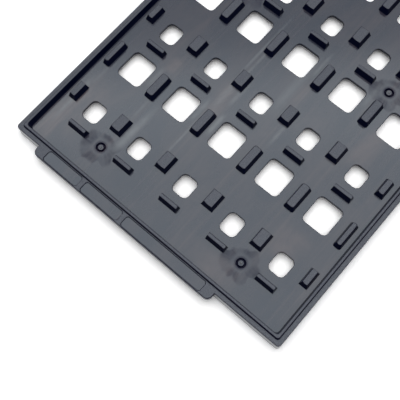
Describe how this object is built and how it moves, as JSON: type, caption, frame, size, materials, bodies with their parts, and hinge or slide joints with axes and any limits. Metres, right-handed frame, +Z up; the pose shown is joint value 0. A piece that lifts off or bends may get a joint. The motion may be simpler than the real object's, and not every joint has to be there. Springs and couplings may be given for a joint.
{
  "type": "ic matrix tray",
  "caption": "Thin moulded tray with a grid of open-floored pockets for integrated circuits, a stacking lip round the rim and a handling tab at each end.",
  "frame": {"origin": "middle of the resting underside, at mid width and mid length of the tray over its tabs", "axes": "+X across the tray, +Y along it away from the labelled end tab, +Z up out of the pockets"},
  "size_m": [0.136, 0.3226, 0.0076],
  "materials": {
    "antistatic_plastic": "semi-gloss moulded, carbon black"
  },
  "bodies": {
    "root": {"tray": "antistatic_plastic"}
  },
  "joints": []
}
